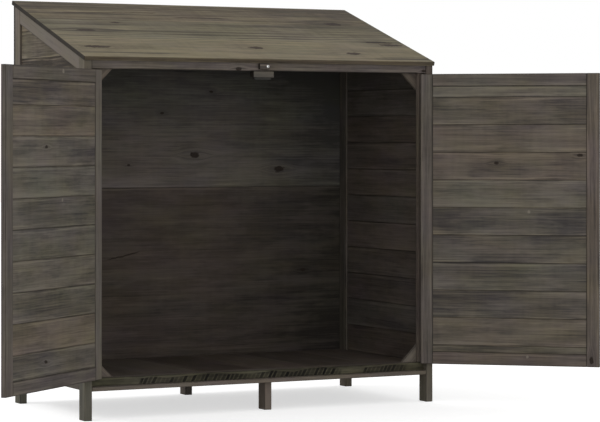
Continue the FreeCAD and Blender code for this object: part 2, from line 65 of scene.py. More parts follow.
# %% Shader helper
class Graph:
    """Adds nodes to one tree, either a material's or a group's."""

    def __init__(self, tree):
        self.tree = tree

    def add(self, kind, **settings):
        node = self.tree.nodes.new(kind)
        for key, value in settings.items():
            setattr(node, key, value)
        return node

    def plug(self, socket, value):
        """Wire an output to a socket, or set a number, a vector or a red, green and blue on it."""
        if isinstance(value, bpy.types.NodeSocket):
            self.tree.links.new(value, socket)
        elif value is not None:
            socket.default_value = (*value, 1) if socket.type == "RGBA" else value

    def fill(self, node, **values):
        """Plug in several inputs by name; underscores stand for spaces."""
        for title, value in values.items():
            self.plug(node.inputs[title.replace("_", " ")], value)
        return node

    def math(self, operation, *values, clamp=False):
        node = self.add("ShaderNodeMath", operation=operation, use_clamp=clamp)
        for socket, value in zip(node.inputs, values):
            self.plug(socket, value)
        return node.outputs[0]

    def chain(self, operation, first, *others):
        for other in others:
            first = self.math(operation, first, other)
        return first

    def times(self, *factors):
        return self.chain("MULTIPLY", *factors)

    def plus(self, *terms):
        return self.chain("ADD", *terms)

    def minus(self, *terms):
        return self.chain("SUBTRACT", *terms)

    def line(self, value, slope, start):
        """The value times a slope, plus a start."""
        return self.math("MULTIPLY_ADD", value, slope, start)

    def band(self, value, start, end):
        """0 before start, 1 after end, smooth between; start may be the larger."""
        node = self.add("ShaderNodeMapRange", interpolation_type="SMOOTHSTEP")
        return self.fill(node, Value=value, From_Min=start, From_Max=end).outputs[0]

    def between(self, value, start, end, fade):
        """1 between start and end, with a fade inside each of them."""
        return self.times(self.band(value, start, self.plus(start, fade)),
                          self.band(value, end, self.minus(end, fade)))

    def vector(self, operation, a, b=None):
        node = self.add("ShaderNodeVectorMath", operation=operation)
        self.plug(node.inputs[0], a)
        self.plug(node.inputs[1], b)
        return node.outputs["Value" if operation == "LENGTH" else "Vector"]

    def scaled(self, vector, scales):
        return self.vector("MULTIPLY", vector, scales)

    def split(self, vector):
        node = self.add("ShaderNodeSeparateXYZ")
        self.plug(node.inputs[0], vector)
        return node.outputs

    def join(self, x, y, z):
        node = self.add("ShaderNodeCombineXYZ")
        for socket, value in zip(node.inputs, (x, y, z)):
            self.plug(socket, value)
        return node.outputs[0]

    def noise(self, vector, detail=3.0, roughness=0.55, coloured=False):
        node = self.add("ShaderNodeTexNoise", noise_dimensions="3D")
        self.fill(node, Vector=vector, Scale=1.0, Detail=detail, Roughness=roughness)
        return node.outputs["Color" if coloured else 0]

    def mix(self, factor, a, b, blend="MIX"):
        node = self.add("ShaderNodeMix", data_type="RGBA", blend_type=blend)
        for index, value in ((0, factor), (6, a), (7, b)):
            self.plug(node.inputs[index], value)
        return node.outputs[2]

    def glazed(self, colour, glaze, where=1.0):
        """A colour under a thin coat of another, which multiplies it."""
        return self.mix(where, colour, glaze, "MULTIPLY")

    def give(self, **values):
        """Plug in a group's own outputs by name."""
        for title, value in values.items():
            self.plug(self.exit.inputs[title], value)


print("shader helper:", sum(callable(item) for item in vars(Graph).values()), "short calls")

# %% [markdown]
# ## Groups and materials
#
# Knots, cracks and grain turn up on many boards, so each is a node group: built once, with named
# sockets, and placed in every material with other values. A material keeps its own Principled
# shader, because a group hands on only colours, masks and heights.

# %% Groups and materials
FLOAT, VECTOR, COLOUR = "NodeSocketFloat", "NodeSocketVector", "NodeSocketColor"


def new_group(name, inputs, **outputs):
    """A shader node group with named sockets; gives back the group, its graph and its inputs.
    An input without a default is a vector, and one with three numbers is a colour."""
    group = bpy.data.node_groups.new(name, "ShaderNodeTree")
    for title, default in inputs.items():
        kind = VECTOR if default is None else COLOUR if isinstance(default, tuple) else FLOAT
        title = title.replace("_", " ")
        socket = group.interface.new_socket(title, in_out="INPUT", socket_type=kind)
        if default is not None:
            socket.default_value = (*default, 1) if kind == COLOUR else default
    for title, kind in outputs.items():
        group.interface.new_socket(title, in_out="OUTPUT", socket_type=kind)
    entry = group.nodes.new("NodeGroupInput")
    graph = Graph(group)
    graph.exit = group.nodes.new("NodeGroupOutput")
    return group, graph, entry.outputs


def place_group(graph, group, **values):
    return graph.fill(graph.add("ShaderNodeGroup", node_tree=group), **values).outputs


def new_material(name):
    """A material, the helper that adds its nodes, and its Principled shader."""
    material = bpy.data.materials.new(name)
    material.use_nodes = True
    graph = Graph(material.node_tree)
    return material, graph, graph.tree.nodes["Principled BSDF"]


def add_relief(graph, shader, height, strength, depth):
    """Let a height in the range 0 to 1 bend the light on the surface."""
    bump = graph.fill(graph.add("ShaderNodeBump"), Strength=strength, Distance=depth, Height=height)
    graph.plug(shader.inputs["Normal"], bump.outputs[0])


print("socket kinds:", FLOAT, VECTOR, COLOUR)

# %% [markdown]
# ## Knots
#
# A knot is a branch that was sawn through: a dark eye a few millimetres across, with a ragged rim,
# and the grain flows round it. An image would blur close up, so the group works it out from board
# coordinates in metres (along the grain, across it, through it). It gives masks for the eye and
# the wood near it, and coordinates pushed aside, so that grain drawn on them bends round the knot.

# %% Knot group
RAGGED_RIM = (85.0, 130.0, 130.0)  # dents per metre along, across and through the board
RIM_WAVER = (1.5, 0.25)  # how far a dent moves the rim, and where it starts
RING_TURN = 2400.0  # radians per metre, so a ring every 2.6 mm
RING_TONE = (0.08, 0.92)
EYE_CORE = 0.65  # the share of its radius that is fully dark
HALO_REACH = 4.0  # knot radii
GRAIN_PUSH = 1.1  # knot radii that the grain moves aside at the eye

KNOT, g, inp = new_group(
    "knot", dict(Board=None, Place=None, Radius=0.006, Length=1.8, Eye=0.0, Halo=0.0),
    Board=VECTOR, Eye=FLOAT, Halo=FLOAT)
radius = inp["Radius"]
along, across, _ = g.split(g.vector("SUBTRACT", inp["Board"], inp["Place"]))
distance = g.vector("LENGTH", g.join(g.math("DIVIDE", along, inp["Length"]), across, 0.0))
rim = g.times(distance, g.line(g.noise(g.scaled(inp["Board"], RAGGED_RIM)), *RIM_WAVER))
rings = g.line(g.math("SINE", g.times(rim, RING_TURN)), *RING_TONE)
eye = g.times(g.band(rim, radius, g.times(radius, EYE_CORE)), rings)
halo = g.band(distance, g.times(radius, HALO_REACH), radius)
push = g.times(halo, radius, g.math("SIGN", across), -GRAIN_PUSH)
g.give(Board=g.vector("ADD", inp["Board"], g.join(0.0, push, 0.0)),
       Eye=g.math("MAXIMUM", inp["Eye"], eye), Halo=g.math("MAXIMUM", inp["Halo"], halo))
print("knot group:", len(KNOT.nodes), "nodes")

# %% [markdown]
# ## Drying cracks
#
# Wide boards split a little where they dry too fast. A crack is a thin dark line that leaves the
# grain at a slight angle. It could be cut into the mesh, but it is hair-fine, so the group only
# measures how far a point is from a sloping line that wanders.

# %% Crack group
WANDERS, WANDER_WIDTH = 38.0, 0.012  # bends per metre, and their size in metres
CRACK_TIP = 0.03  # the length over which each end thins out
CRACK_CORE = 0.3  # the share of its width that is fully dark
CRACK_DARK = 0.9

CRACK, g, inp = new_group(
    "drying crack", dict(Board=None, Start=0.0, End=0.1, Across=0.0, Slope=0.0, Width=0.001, Eye=0.0),
    Eye=FLOAT)
along, across, _ = g.split(inp["Board"])
wander = g.noise(g.scaled(inp["Board"], (WANDERS, 0.0, 0.0)))
line = g.line(g.minus(along, inp["Start"]), inp["Slope"], inp["Across"])
line = g.plus(line, g.times(g.minus(wander, 0.5), WANDER_WIDTH))
gap = g.math("ABSOLUTE", g.minus(across, line))
crack = g.band(gap, inp["Width"], g.times(inp["Width"], CRACK_CORE))
crack = g.times(crack, g.between(along, inp["Start"], inp["End"], CRACK_TIP), CRACK_DARK)
g.give(Eye=g.math("MAXIMUM", inp["Eye"], crack))
print("crack group:", len(CRACK.nodes), "nodes")

# %% [markdown]
# ## Marks of a coarse saw
#
# The front edge of the floor came straight from a coarse band saw: leaning cuts at a nearly even
# pitch, some deep and some faint, with dirty fibres between them. A wave texture would repeat too
# neatly, so the group counts the cuts along the board, gives each its own strength and lets the
# top of the marked strip wander.

# %% Saw mark group
STRAY = 0.8  # how far a cut strays from its place, in pitches
CUT_START, CUT_END = (0.0, 0.12), (0.84, 0.66)  # in pitches
CUT_DARK = (0.55, 0.2)  # how much darker one cut is than another, and the faintest
DIRTY_FIBRES = 0.27
STRIP_TOP = (0.030, -0.009)  # metres that the top wanders, from this height on the board
STRIP_BOTTOM, STRIP_FADE, STRIP_TIP = -0.0115, 0.002, 0.02  # metres

SAW_MARKS, g, inp = new_group(
    "saw marks", dict(Along=0.0, Up=0.0, Pitch=0.0123, Lean=0.55, Start=-0.3, End=0.3, Marks=0.0),
    Marks=FLOAT)
along, up = inp["Along"], inp["Up"]
wobble = g.noise(g.join(g.times(along, 30.0), 0.0, 0.0), 2.0)
place = g.math("DIVIDE", g.minus(along, g.times(up, inp["Lean"])), inp["Pitch"])
place = g.plus(place, g.times(wobble, STRAY))
count = g.math("FLOOR", place)
within = g.minus(place, count)
lot = g.fill(g.add("ShaderNodeTexWhiteNoise", noise_dimensions="1D"), W=count).outputs["Value"]
cut = g.times(g.band(within, *CUT_START), g.band(within, *CUT_END), g.line(lot, *CUT_DARK))
top = g.line(g.noise(g.join(g.times(along, 9.0), 3.0, 0.0), 2.0), *STRIP_TOP)
strip = g.times(g.band(up, top, g.minus(top, STRIP_FADE)),
                g.band(up, STRIP_BOTTOM, STRIP_BOTTOM + STRIP_FADE),
                g.between(along, inp["Start"], inp["End"], STRIP_TIP))
marks = g.times(g.plus(cut, DIRTY_FIBRES), strip)
g.give(Marks=g.math("MAXIMUM", inp["Marks"], marks, clamp=True))
print("saw mark group:", len(SAW_MARKS.nodes), "nodes")

# %% [markdown]
# ## Stained timber
#
# The stain is thin, so the wood shows through. One group makes every kind of timber here, and most of
# its inputs are what a joiner would name: the darkest and the lightest stain, the grain's contrast
# and width, worn and damp places. The damp input also paints shade, and a dark glaze on narrow faces
# paints shade too. A material for each board would say all of this again, so a board only brings its
# own seed, tone and tint.

# %% Stained timber group
SEED_STEPS = (7.31, 1.93, 0.57)  # how far apart in the noise two boards lie

TIMBER, g, inp = new_group(
    "stained timber",
    dict(Board=None, Half_size=None, Seed=0.0, Tone=0.0, Tint=0.0, Damp=0.0, Eye=0.0, Halo=0.0,
         Pale=0.0, Saw_marks=0.0, Dark_stain=(0.03, 0.026, 0.02), Light_stain=(0.13, 0.115, 0.09),
         Knot_colour=(0.016, 0.0105, 0.0075), Contrast=1.0, Grain_width=1.0, Dark_lines=0.25,
         Random_knots=0.0, Patches=1.0, Clouds=0.0, Hue_changes=1.0, Edge_wear=0.5, Lower_edge=0.0,
         Soaked_edges=0.0),
    Colour=COLOUR, Roughness=FLOAT, Height=FLOAT)
shifted = g.vector("ADD", inp["Board"], g.join(*[g.times(inp["Seed"], step) for step in SEED_STEPS]))
print("timber sockets:", len(inp) - 1, "in and 3 out")

# %% [markdown]
# ## Small knots that fall anywhere
#
# Softwood has small knots that nobody would place by hand. A Voronoi texture cuts the board into
# cells that are long along the grain, and a few cells, drawn by lot, get a knot at their centre.

# %% Random knots
CELLS_ALONG, CELLS_ACROSS = 3.1, 9.0  # per metre
SMALLEST_KNOT, KNOT_RANGE = 0.002, 0.0045  # radii in metres
NOT_ZERO = 0.00001

cells = g.add("ShaderNodeTexVoronoi", voronoi_dimensions="2D")
g.fill(cells, Vector=g.scaled(shifted, (CELLS_ALONG, CELLS_ACROSS, 0.0)), Scale=1.0)
centre = g.scaled(cells.outputs["Position"], (1 / CELLS_ALONG, 1 / CELLS_ACROSS, 0.0))
lot, size, _ = g.split(cells.outputs["Color"])
drawn = g.math("LESS_THAN", lot, inp["Random knots"])
radius = g.times(g.line(size, KNOT_RANGE, SMALLEST_KNOT), drawn)
knot = place_group(g, KNOT, Board=g.scaled(shifted, (1.0, 1.0, 0.0)), Place=centre,
                   Radius=g.plus(radius, NOT_ZERO))
eye = g.math("MAXIMUM", knot["Eye"], inp["Eye"])
halo = g.math("MAXIMUM", g.times(knot["Halo"], g.math("GREATER_THAN", radius, 0.0)), inp["Halo"])
bent = g.vector("ADD", knot["Board"], g.join(0.0, 0.0, g.split(shifted)[2]))
finer = g.math("DIVIDE", 1.0, inp["Grain width"])
bent = g.scaled(bent, g.join(1.0, finer, finer))
print(f"random knots: at most one in {1000 / CELLS_ALONG:.0f} x {1000 / CELLS_ACROSS:.0f} mm")

# %% [markdown]
# ## Grain
#
# Along each board run broad bands, finer streaks and finest fibres, with dark pores, pale scrapes
# and long dark lines between them, and faint marks of the planer across. Year rings could be built
# from waves, but boards sawn flat hardly show them. So each layer is plain noise, drawn out along
# the grain, and the layers are added up.

# %% Grain
# features per metre along and across the grain, detail, roughness, and how much the layer counts
LAYERS = {"bands": (1.3, 34.0, 4.0, 0.66, 0.78), "streaks": (4.2, 150.0, 4.0, 0.7, 0.95),
          "fine": (9.0, 310.0, 3.0, 0.6, 0.75), "fibres": (24.0, 620.0, 2.0, 0.6, 0.5),
          "planer": (62.0, 7.0, 2.0, 0.5, 0.2)}
# the same, but with the noise levels from which such a place begins and is full
PLACES = {"pores": (3.4, 210.0, 2.0, 0.5, 0.57, 0.7), "scrapes": (6.3, 290.0, 2.0, 0.5, 0.6, 0.74),
          "lines": (1.0, 85.0, 4.0, 0.65, 0.52, 0.72), "patches": (5.2, 17.0, 4.0, 0.6, 0.42, 0.58),
          "clouds": (2.2, 19.0, 5.0, 0.65, 0.54, 0.72), "rubbed": (5.0, 170.0, 3.0, 0.5, 0.46, 0.62),
          "lower": (4.0, 9.0, 3.0, 0.5, 0.4, 0.58), "worn": (14.0, 60.0, 3.0, 0.5, 0.42, 0.62)}
PORE_DARK, SCRAPE_LIGHT, LINE_DARK = 0.17, 0.18, 0.42


def stretched(along, across, detail, roughness):
    """Noise drawn out along the grain, which bends round the knots."""
    return g.noise(g.scaled(bent, (along, across, across)), detail, roughness)


layer = {name: stretched(*wave) for name, (*wave, _) in LAYERS.items()}
on = {name: g.band(stretched(*wave), start, full) for name, (*wave, start, full) in PLACES.items()}
grain = g.plus(*[g.times(g.minus(layer[name], 0.5), wave[-1]) for name, wave in LAYERS.items()])
grain = g.minus(grain, g.times(on["pores"], PORE_DARK))
grain = g.plus(grain, g.times(on["scrapes"], SCRAPE_LIGHT))
grain = g.minus(grain, g.times(on["lines"], inp["Dark lines"], LINE_DARK))
print("grain layers:", ", ".join(layer), "and places:", ", ".join(on))

# %% [markdown]
# ## Patches, clouds and rubbed edges
#
# Patches took more or less stain, damp left dark clouds, and hands rubbed the long edges lighter.
# All of it moves one level between the darkest and the lightest stain, so no place gets a colour
# that the stain can't have. The half sizes tell how far a point is from the board's edges, and
# whether it lies on a wide face.

# %% Patches, clouds and edges
# metres from an edge, where an effect begins and is full
FACE_RIM, RUBBED_RIM, LOWER_RIM = (0.0020, 0.0010), (0.016, 0.003), (0.022, 0.006)
TONE_STEP, PATCH_STEP, RUBBED_STEP, CLOUD_STEP, HALO_STEP = 0.22, 0.27, 0.75, 0.22, 0.10

half_along, half_across, half_depth = g.split(inp["Half size"])
along, across, depth = g.split(g.vector("ABSOLUTE", inp["Board"]))
edge_gap = g.minus(half_across, across)
face_gap = g.minus(half_depth, depth)
lower_gap = g.minus(half_across, g.split(inp["Board"])[1])
on_face = g.band(face_gap, *FACE_RIM)
cloud = g.times(on["clouds"], inp["Clouds"])
rubbed = g.times(g.band(edge_gap, *RUBBED_RIM), on["rubbed"], inp["Edge wear"], on_face)
lower = g.times(g.band(lower_gap, *LOWER_RIM), on["lower"], inp["Lower edge"])
level = g.plus(g.line(inp["Tone"], TONE_STEP, 0.5), lower, g.times(grain, inp["Contrast"]),
               g.times(g.minus(on["patches"], 0.5), PATCH_STEP, inp["Patches"]),
               g.times(rubbed, RUBBED_STEP))
level = g.minus(level, g.times(cloud, CLOUD_STEP))
level = g.math("SUBTRACT", level, g.times(halo, HALO_STEP), clamp=True)
print("timber group so far:", len(TIMBER.nodes), "nodes")

# %% [markdown]
# ## Colour, gloss and relief
#
# The level picks a colour between the two stains, and slow noise makes it greyer or browner from
# place to place. Glazes then multiply it, as thin coats do: on damp wood, and where the damp value
# paints shade, on the narrow faces, where a dark glaze paints shade, on clouds and on worn rims.
# Knots, dirt in the seams and darker sawn ends cover it. The same streaks drive gloss and relief,
# because raised grain catches the light.

# %% Colour
DAMP_AND_SHADE_GLAZE, PAINTED_SHADE_EDGE_GLAZE = (0.88, 0.98, 0.945), (0.46, 0.43, 0.45)
CLOUD_GLAZE, WORN_GLAZE = (0.80, 0.87, 0.90), (1.8, 1.75, 1.65)
SAW_DIRT, SEAM_DIRT = (0.003, 0.0026, 0.002), (0.014, 0.012, 0.010)
PALE_WOOD, END_WOOD = (0.22, 0.195, 0.16), (0.016, 0.013, 0.010)
HUE_SCALE, RING_SCALE = (6.5, 14.0, 14.0), (0.0, 260.0, 900.0)  # features per metre
HUE_RANGE, TINT_RANGE = (0.08, 0.17, 0.50), (-0.025, 0.012, 0.028)  # in red, green and blue
WORN_RIM, DIRT_RIM, END_RIM = (0.0026, 0.0008), (0.0035, 0.0004), (0.0016, 0.0007)
KNOT_COVER, PALE_COVER, DIRT_COVER, END_COVER = 0.97, 0.55, 0.55, (0.5, 0.58)

hue = g.noise(g.scaled(bent, HUE_SCALE), coloured=True)
shift = g.scaled(g.vector("SUBTRACT", hue, (0.5, 0.5, 0.5)), HUE_RANGE)
shift = g.scaled(shift, inp["Hue changes"])
shift = g.vector("ADD", shift, g.scaled(inp["Tint"], TINT_RANGE))
colour = g.mix(level, inp["Dark stain"], inp["Light stain"])
colour = g.glazed(colour, g.vector("ADD", shift, (1.0, 1.0, 1.0)))
# real damp and painted shade: this glaze darkens damp feet, and paints shade on the back, high on the
# rear right post and on the stop block's lip
colour = g.glazed(colour, DAMP_AND_SHADE_GLAZE, inp["Damp"])
# painted shade: a dark glaze on the narrow faces, which darkens the roof's front edge
colour = g.glazed(colour, PAINTED_SHADE_EDGE_GLAZE, g.times(g.minus(1.0, on_face), inp["Soaked edges"]))
colour = g.glazed(colour, CLOUD_GLAZE, cloud)
colour = g.mix(g.times(eye, KNOT_COVER), colour, inp["Knot colour"])
colour = g.mix(inp["Saw marks"], colour, SAW_DIRT)
colour = g.mix(g.times(inp["Pale"], PALE_COVER), colour, PALE_WOOD)
worn = g.times(g.band(g.plus(edge_gap, face_gap), *WORN_RIM), on["worn"], inp["Edge wear"])
colour = g.glazed(colour, WORN_GLAZE, worn)
colour = g.mix(g.times(g.band(edge_gap, *DIRT_RIM), on_face, DIRT_COVER), colour, SEAM_DIRT)
rings = g.line(g.noise(g.scaled(shifted, RING_SCALE), 2.0), *END_COVER)
sawn_end = g.times(g.band(g.minus(half_along, along), *END_RIM), rings)
colour = g.mix(sawn_end, colour, END_WOOD)
print("timber group so far:", len(TIMBER.nodes), "nodes")

# %% Gloss and relief
GRAIN_RELIEF, PORE_RELIEF, SAW_RELIEF, KNOT_RELIEF = 0.6, 0.35, 1.6, 0.5
GLOSS_RANGE = (0.22, 0.6)
height = g.plus(g.times(layer["fibres"], GRAIN_RELIEF), g.times(layer["streaks"], GRAIN_RELIEF))
height = g.minus(height, g.times(on["pores"], PORE_RELIEF), g.times(inp["Saw marks"], SAW_RELIEF),
                 g.times(eye, KNOT_RELIEF))
g.give(Colour=colour, Roughness=g.line(layer["streaks"], *GLOSS_RANGE), Height=height)
print("timber group:", len(TIMBER.nodes), "nodes")

# %% [markdown]
# ## One material per kind of timber
#
# The boards carry their own coordinates as attributes. A texture could follow the whole cabinet
# instead, but then the grain would run straight on from slat to slat. This way one material serves
# a whole stack, and each slat still has its own grain. A marked board gets its own material.

# %% Timber materials
BUMP_DEPTH, BUMP_STRENGTH, DRY_SHEEN = 0.0006, 0.55, 0.12
KNOT_LENGTHS = {"pale": 1.0, "knot": 1.8, "long knot": 3.4}  # length over width
STORED = {"Half_size": "Vector", "Seed": "Fac", "Tone": "Fac", "Tint": "Fac", "Damp": "Fac"}


def attribute(graph, name, output):
    return graph.add("ShaderNodeAttribute", attribute_name=name).outputs[output]


def wire_marks(graph, marks, board):
    """Put marks in a row. A mark is (kind, board number, along, across, radius), and a crack also
    has its end and slope."""
    number = attribute(graph, "number", "Fac") if marks else None
    eye, halo, pale = 0.0, 0.0, 0.0
    for kind, wanted, along, across, radius, *rest in marks:
        here = graph.times(graph.math("COMPARE", number, wanted, 0.5), radius)
        if kind == "crack":
            end, slope = rest
            eye = place_group(graph, CRACK, Board=board, Start=along, End=end, Across=across,
                              Slope=slope, Width=here, Eye=eye)["Eye"]
            continue
        spot = dict(Board=board, Place=(along, across, 0.0), Radius=here, Length=KNOT_LENGTHS[kind])
        if kind == "pale":
            pale = place_group(graph, KNOT, Eye=pale, **spot)["Eye"]
        else:
            out = place_group(graph, KNOT, Eye=eye, Halo=halo, **spot)
            board, eye, halo = out["Board"], out["Eye"], out["Halo"]
    return dict(Board=board, Eye=eye, Halo=halo, Pale=pale)


def timber_material(name, marks=(), sawn=(), **values):
    """A Principled material fed by the timber group, with any marks in front of it."""
    material, graph, shader = new_material(name)
    wired = wire_marks(graph, marks, attribute(graph, "board", "Vector"))
    cuts = 0.0
    for start, end in sawn:
        along, _, up = graph.split(wired["Board"])
        cuts = place_group(graph, SAW_MARKS, Along=along, Up=up, Start=start, End=end,
                           Marks=cuts)["Marks"]
    stored = {title: attribute(graph, title.lower(), output) for title, output in STORED.items()}
    out = place_group(graph, TIMBER, Saw_marks=cuts, **wired, **stored, **values)
    graph.fill(shader, Base_Color=out["Colour"], Roughness=out["Roughness"],
               Specular_IOR_Level=DRY_SHEEN)
    add_relief(graph, shader, out["Height"], BUMP_STRENGTH, BUMP_DEPTH)
    return material


print("relief of the grain: up to", BUMP_DEPTH * 1000, "mm")

# %% [markdown]
# ## The stain on each kind of timber
#
# Frame, slats, back, floor and roof had the same brown-grey stain and came out a little different.
# The inside faces get darker copies of the stain, which paint the shade inside the cabinet. A
# material built anew for each would drift apart, so each kind is one row of values for the same group.

# %% Stains
def stain(dark, light, **values):
    """The darkest and the lightest that the stain gets, and what else differs from plain timber."""
    return dict(Dark_stain=dark, Light_stain=light, **values)


STAINS = {
    "frame_wood": stain((0.042, 0.0356, 0.0335), (0.142, 0.1178, 0.096), Random_knots=0.05,
        Patches=0.6),
    "slat_wood": stain((0.039, 0.0342, 0.0315), (0.148, 0.1262, 0.0975), Random_knots=0.08,
        Edge_wear=0.7, Lower_edge=0.22),
    "back_wood": stain((0.038, 0.0328, 0.029), (0.138, 0.117, 0.09), Random_knots=0.04, Contrast=0.8,
        Patches=0.4),
    "floor_wood": stain((0.034, 0.029, 0.025), (0.115, 0.099, 0.08), Random_knots=0.1),
    # the roof's narrow faces get the dark glaze that paints shade on its front edge
    "roof_wood": stain((0.044, 0.0352, 0.0245), (0.178, 0.149, 0.0955), Grain_width=1.7,
        Contrast=1.4, Dark_lines=1.5, Patches=0.35, Clouds=0.15, Hue_changes=0.7, Soaked_edges=1.0,
        Knot_colour=(0.02, 0.01, 0.006)),
    "sawn_batten": stain((0.022, 0.02, 0.0135), (0.122, 0.114, 0.076), Edge_wear=0.0,
        sawn=((-0.36, 0.24), (0.29, 0.44))),
    # painted shade: the next two stains are darker copies for the faces inside the cabinet
    "inside": stain((0.0185, 0.0144, 0.012), (0.083, 0.066, 0.0532), Contrast=0.7, Patches=0.8,
        Clouds=0.5),
    "inner_walls": stain((0.032, 0.0266, 0.0236), (0.127, 0.1065, 0.0885), Contrast=0.75,
        Patches=0.7, Clouds=0.5),
    "outer_walls": stain((0.03, 0.0245, 0.0185), (0.165, 0.137, 0.098), Random_knots=0.08,
        Edge_wear=0.7, Contrast=1.1, Patches=0.7, Dark_lines=0.5),
}
# boards with another finish on one side, and the way that side looks; inside faces take darker stains
# that paint shade
RIGHT, LEFT, FRONT, UP = (1, 0, 0), (-1, 0, 0), (0, -1, 0), (0, 0, 1)
ONE_SIDE = {"back_panel_upper": (FRONT, "inner_walls"), "back_panel_lower": (FRONT, "inside"),
            "floor_front_batten": (FRONT, "sawn_batten")}
for board in ("side_slats", "bottom_rail", "rake_rail"):
    ONE_SIDE[f"left_{board}"] = (RIGHT, "inner_walls")
    ONE_SIDE[f"right_{board}"] = (LEFT, "inner_walls")
for number in range(1, 7):
    ONE_SIDE[f"floor_board_{number}"] = (UP, "inside")
print("kinds of timber:", len(STAINS), "and boards with two finishes:", len(ONE_SIDE))

# %% [markdown]
# ## Tone, tint and damp of single boards
#
# A stack of boards from one saw still has light and dark ones. Where the eye would notice, tone
# and tint are listed one by one; the other boards draw theirs by lot. The middle legs get high tones
# that paint light on them. A few boards fade along an axis. The back, the rear right post above its
# foot and the stop block's lip get painted shade; the roof darkens towards the back and the right
# and the front right post towards the top; the feet of the posts stand damp.

# %% Tones, tints and fades
# how light each board took the stain, in a node's order, lowest first; the middle legs' high tones are
# painted light
TONES = {
    "left_door_slats": (-0.2, 0.6, -0.1, 0.2, 0.1, 0.0, 0.1, 0.2, 0.2, -0.7),
    "right_door_slats": (-0.4, 0.2, -0.6, -0.1, -0.4, -0.7, 0.2, -0.1, 0.1, -0.7, 0.0),
    "left_side_slats": (0.2, -0.4, 0.5, -0.1, -0.6, 0.3, 0.0, -0.5, 0.4, -0.2, -1.6, -0.1, 0.6),
    "right_side_slats": (-0.3, -0.1, -0.4, -0.2, 0.7, 0.0, 0.7, 0.2, 0.0, -0.2, 0.0, 0.0, 0.0),
    "left_door_free_stile": (0.0,), "left_door_hinge_stile": (1.0,), "left_rake_rail": (2.1,),
    "front_top_rail": (-0.1,), "front_bottom_rail": (1.2,), "turn_button": (-0.6,),
    # painted light: the middle legs, in the shade under the floor, get high tones
    "front_middle_leg": (3.0,), "rear_middle_leg": (2.1,), "floor_board_2": (1.5,),
    "floor_board_3": (0.0,), "floor_board_4": (1.4,), "floor_board_5": (0.1,), "floor_board_6": (1.4,)}
# how grey (1) or brown (-1) each board is
TINTS = {
    "left_door_slats": (1.0, -1.0, 0.9, 0.5, 1.4, 1.2, 1.6, 0.7, -0.8, -0.3),
    "right_door_slats": (0.3, -0.7, 0.5, 1.0, 0.4, 0.6, 0.8, -1.0, -1.0, -0.5, 1.0),
    "right_side_slats": (-1.0, 1.0, -0.3, -0.3, -1.0, 0.6, -0.8, -0.8, -1.0, 1.0, 1.0, 0.0, 0.0),
    "left_door_hinge_stile": (1.4,), "left_door_free_stile": (1.0,), "left_door_top_rail": (1.0,),
    "left_door_bottom_rail": (1.0,), "left_rake_rail": (0.6,)}
# boards that change along an axis (X across the cabinet, Z up), from a first place, in metres, and
# its value to a second
X, Z = 0, 2


def fade_from_foot(tone, tone_above, damp, damp_above=0.0):
    return [("tone", Z, 0.08, tone, 0.14, tone_above), ("damp", Z, 0.08, damp, 0.14, damp_above)]


FADES = {
    "roof_board_1": [("tone", Z, 0.935, 1.4, 0.985, 1.3)],
    "roof_board_2": [("tone", Z, 0.985, 1.3, 1.02, -0.4), ("tone", X, 0.1, 0.0, 0.5, -0.4)],
    "roof_board_3": [("tone", Z, 1.03, -0.4, 1.09, -0.8), ("tone", X, 0.1, 0.0, 0.5, -0.7)],
    # painted shade: the back grows darker towards the top under the roof and towards the right, and
    # the lower board towards the bottom, in tone and damp
    "back_panel_upper": [("tone", Z, 0.62, 0.8, 0.88, -0.9), ("tone", X, 0.15, 0.0, 0.45, -2.0),
        ("damp", Z, 0.72, 0.0, 0.86, 0.8), ("damp", X, 0.1, 0.0, 0.45, 0.8)],
    "back_panel_lower": [("tone", Z, 0.1, -0.2, 0.62, 0.6), ("tone", X, 0.05, 0.0, 0.45, -1.6),
        ("damp", X, 0.1, 0.0, 0.45, 0.8)],
    "front_left_post": fade_from_foot(0.6, 0.6, 1.2),
    "front_right_post": fade_from_foot(1.4, 0.3, 1.6) + [("tone", Z, 0.55, 0.0, 0.8, -0.5)],
    "rear_left_post": fade_from_foot(0.8, 1.0, 0.9),
    # painted shade: the rear right post grows darker and damper above its foot
    "rear_right_post": fade_from_foot(1.0, -0.4, 0.5, 0.8),
    # painted shade: the lower lip of the stop block is stained nearly black and damp
    "door_stop_block": [("tone", Z, 0.8735, -3.0, 0.8745, 0.1), ("damp", Z, 0.8735, 1.5, 0.8745, 0.5)]}
TONES.update({node: (0.0,) for node in FADES})
print("boards with a tone of their own:", sum(len(tones) for tones in TONES.values()))

# %% [markdown]
# ## Marks that can be pointed at
#
# The knots that catch the eye sit at known places, where noise would never put them. So each is
# given in metres on the cabinet as it stands, with its radius. A crack also has its far end, and a
# pale mark is a small scar where the stain is gone.

